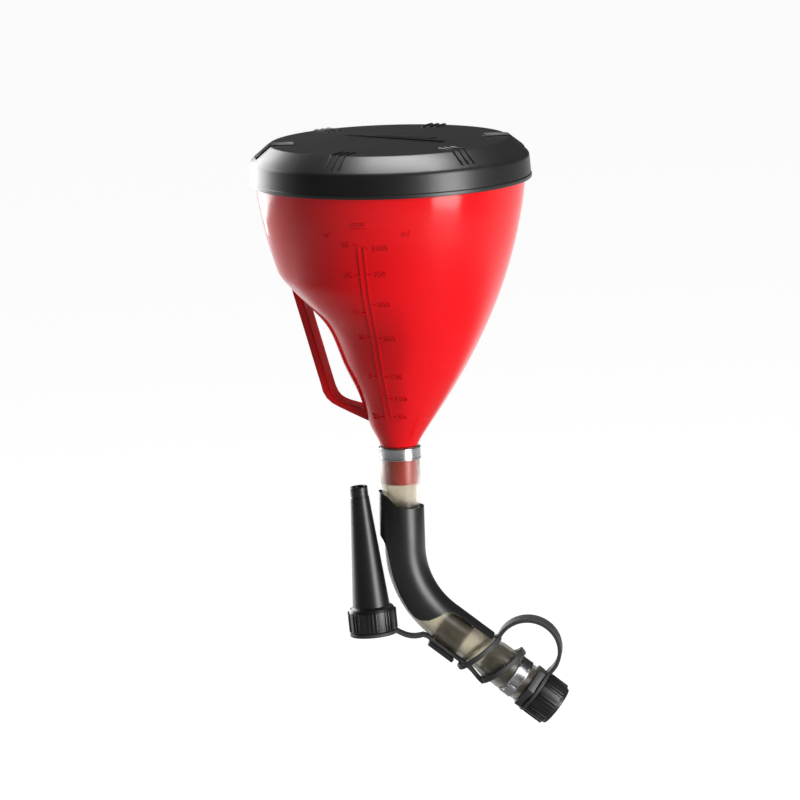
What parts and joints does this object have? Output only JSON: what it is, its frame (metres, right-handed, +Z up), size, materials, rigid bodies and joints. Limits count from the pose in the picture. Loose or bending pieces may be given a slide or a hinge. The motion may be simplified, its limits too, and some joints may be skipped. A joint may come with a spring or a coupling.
{
  "type": "filling funnel",
  "caption": "Covered filling funnel with a side handle, a measuring scale, a bent clear hose, a strapped screw cap on the outlet and a slim nozzle on a strap.",
  "frame": {"origin": "on the bowl's axis, at the underside of the cone where the spigot begins", "axes": "+Z up along the bowl's axis, from the outlet to the lid; +X the way the hose bends, so the hose lies in the XZ plane"},
  "size_m": [0.1801, 0.1672, 0.3557],
  "materials": {
    "red_plastic": "gloss, lightly moulded surface",
    "black_plastic": "satin black",
    "clear_hose": "clear, slightly smoky and yellowish",
    "steel": "bright rolled band",
    "dark_plastic": "satin dark grey",
    "rubber": "matt dark grey"
  },
  "bodies": {
    "base": {"funnel_bowl": "red_plastic", "hose": "clear_hose", "upper_hose_clamp": "steel", "lower_hose_clamp": "steel", "bend_holder": "black_plastic", "outlet_nipple": "dark_plastic", "cap_strap": "rubber", "nozzle_strap_ring": "rubber"},
    "lid": {"lid": "black_plastic"},
    "cap_eye": {"cap_eye": "rubber"},
    "cap": {"outlet_cap": "black_plastic", "cap_seal": "rubber"},
    "nozzle_link": {"nozzle_strap_link": "rubber", "nozzle_eye": "rubber"},
    "nozzle": {"nozzle": "black_plastic", "nozzle_seal": "rubber"}
  },
  "joints": [
    {"name": "lid_lift", "type": "slide", "parent": "base", "child": "lid", "axis": [0, 0, 1], "range_m": [0, 0.06]},
    {"name": "cap_travel", "type": "slide", "parent": "base", "child": "cap_eye", "axis": [0.7771, 0, -0.6293], "range_m": [0, 0.0095], "deforming": ["cap_strap"]},
    {"name": "cap_turn", "type": "hinge", "parent": "cap_eye", "child": "cap", "pos_m": [0.07772, 0, -0.15303], "axis": [0.7771, 0, -0.6293], "range_deg": [0, 1080]},
    {"name": "nozzle_swing", "type": "hinge", "parent": "base", "child": "nozzle_link", "pos_m": [0.01153, 0, -0.11495], "axis": [0, -1, 0], "range_deg": [0, 90], "stiffness_Nm_per_rad": 0.04, "springref_deg": -8.59},
    {"name": "nozzle_turn", "type": "hinge", "parent": "nozzle_link", "child": "nozzle", "pos_m": [-0.0189, 0, -0.1139], "axis": [-0.0698, 0, 0.9976], "continuous": true}
  ],
  "couplings": [
    {"joint": "cap_travel", "follows": "cap_turn", "m_per_rad": 0.00047746}
  ]
}
